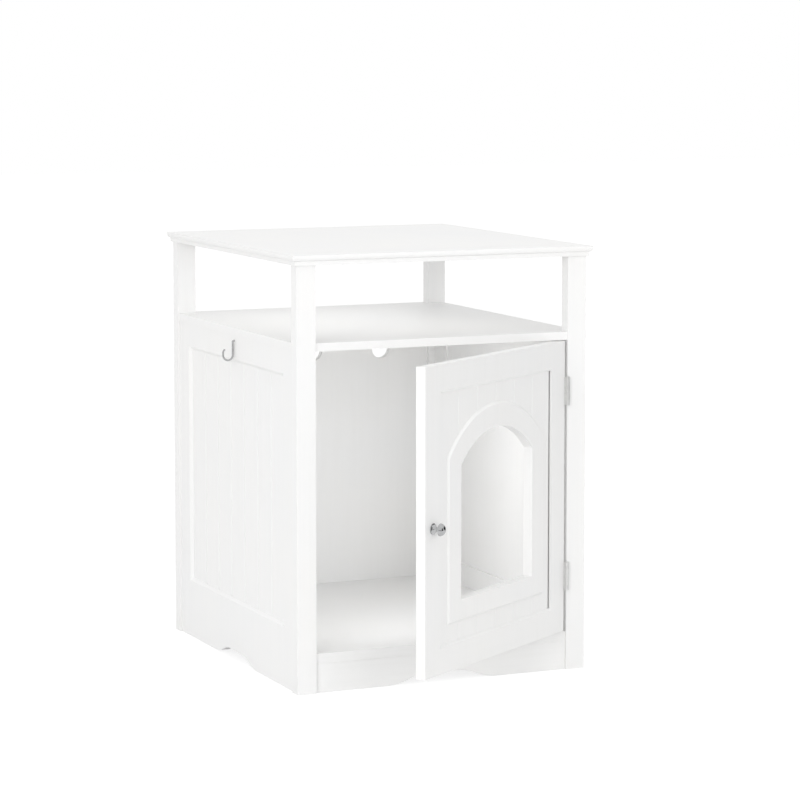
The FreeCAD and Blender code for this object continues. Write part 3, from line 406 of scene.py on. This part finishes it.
def sees_background(tree):
    """1 where the camera, a reflection or a view through glass meets the background."""
    path = tree.nodes.new("ShaderNodeLightPath")
    total = path.outputs["Is Camera Ray"]
    for kind in ("Is Glossy Ray", "Is Transmission Ray"):
        both = tree.nodes.new("ShaderNodeMath")
        both.operation = "MAXIMUM"
        tree.links.new(total, both.inputs[0])
        tree.links.new(path.outputs[kind], both.inputs[1])
        total = both.outputs["Value"]
    return total


def make_world():
    world = bpy.data.worlds.new("studio")
    SCENE.world = world
    world.use_nodes = True
    tree = world.node_tree
    seen = tree.nodes["Background"]
    seen.inputs["Strength"].default_value = 1
    seen.inputs["Color"].default_value = (1, 1, 1, 1)
    light = tree.nodes.new("ShaderNodeBackground")
    light.inputs["Color"].default_value = (1, 1, 1, 1)
    light.inputs["Strength"].default_value = SKY
    mix = tree.nodes.new("ShaderNodeMixShader")
    tree.links.new(sees_background(tree), mix.inputs["Fac"])
    tree.links.new(light.outputs["Background"], mix.inputs[1])
    tree.links.new(seen.outputs["Background"], mix.inputs[2])
    tree.links.new(mix.outputs["Shader"], tree.nodes["World Output"].inputs["Surface"])


def make_floor():
    """A white sweep that keeps the cabinet's shadow."""
    mesh = bpy.data.meshes.new("floor")
    half = FLOOR_HALF
    corners = [(-half, -half, 0), (half, -half, 0), (half, half, 0), (-half, half, 0)]
    mesh.from_pydata(corners, [], [(0, 1, 2, 3)])
    floor = bpy.data.objects.new("floor", mesh)
    SCENE.collection.objects.link(floor)
    material = bpy.data.materials.new("floor_white")
    material.use_nodes = True
    tree = material.node_tree
    tree.nodes.remove(tree.nodes["Principled BSDF"])
    bounce = tree.nodes.new("ShaderNodeBsdfDiffuse")
    bounce.inputs["Color"].default_value = (*FLOOR_BOUNCE, 1)
    shade = tree.nodes.new("ShaderNodeBsdfDiffuse")
    shade.inputs["Color"].default_value = (*FLOOR_SEEN, 1)
    white = tree.nodes.new("ShaderNodeEmission")
    white.inputs["Strength"].default_value = FLOOR_WHITE
    both = tree.nodes.new("ShaderNodeAddShader")
    mix = tree.nodes.new("ShaderNodeMixShader")
    tree.links.new(shade.outputs["BSDF"], both.inputs[0])
    tree.links.new(white.outputs["Emission"], both.inputs[1])
    tree.links.new(sees_background(tree), mix.inputs["Fac"])
    tree.links.new(bounce.outputs["BSDF"], mix.inputs[1])
    tree.links.new(both.outputs["Shader"], mix.inputs[2])
    tree.links.new(mix.outputs["Shader"], tree.nodes["Material Output"].inputs["Surface"])
    mesh.materials.append(material)


def make_lamp(name, place, aim, wide, tall, watts):
    """A soft box that lights the scene and shows in nothing."""
    data = bpy.data.lights.new(name, "AREA")
    data.shape = "RECTANGLE"
    data.size = wide
    data.size_y = tall
    data.energy = watts
    lamp = bpy.data.objects.new(name, data)
    SCENE.collection.objects.link(lamp)
    lamp.location = place
    lamp.rotation_mode = "QUATERNION"
    lamp.rotation_quaternion = (Vector(aim) - Vector(place)).to_track_quat("-Z", "Y")
    lamp.visible_camera = False
    lamp.visible_glossy = False


def make_flag(name, place, aim, wide, tall):
    """A dark card beside the set that gives polished metal something dark to show."""
    mesh = bpy.data.meshes.new(name)
    x, y = wide / 2, tall / 2
    mesh.from_pydata([(-x, -y, 0), (x, -y, 0), (x, y, 0), (-x, y, 0)], [], [(0, 1, 2, 3)])
    card = bpy.data.objects.new(name, mesh)
    SCENE.collection.objects.link(card)
    card.location = place
    card.rotation_mode = "QUATERNION"
    card.rotation_quaternion = (Vector(aim) - Vector(place)).to_track_quat("Z", "Y")
    for kind in ("camera", "diffuse", "transmission", "volume_scatter", "shadow"):
        setattr(card, "visible_" + kind, False)
    material = bpy.data.materials.new(name)
    material.use_nodes = True
    shader = material.node_tree.nodes["Principled BSDF"]
    shader.inputs["Base Color"].default_value = FLAG_BLACK
    shader.inputs["Specular IOR Level"].default_value = 0
    mesh.materials.append(material)


def make_lights():
    make_world()
    make_floor()
    for lamp in LAMPS:
        make_lamp(*lamp)
    for flag in FLAGS:
        make_flag(*flag)


make_camera()
paint_boards()
fit_hardware()
make_lights()
SCENE.view_settings.view_transform = "Standard"
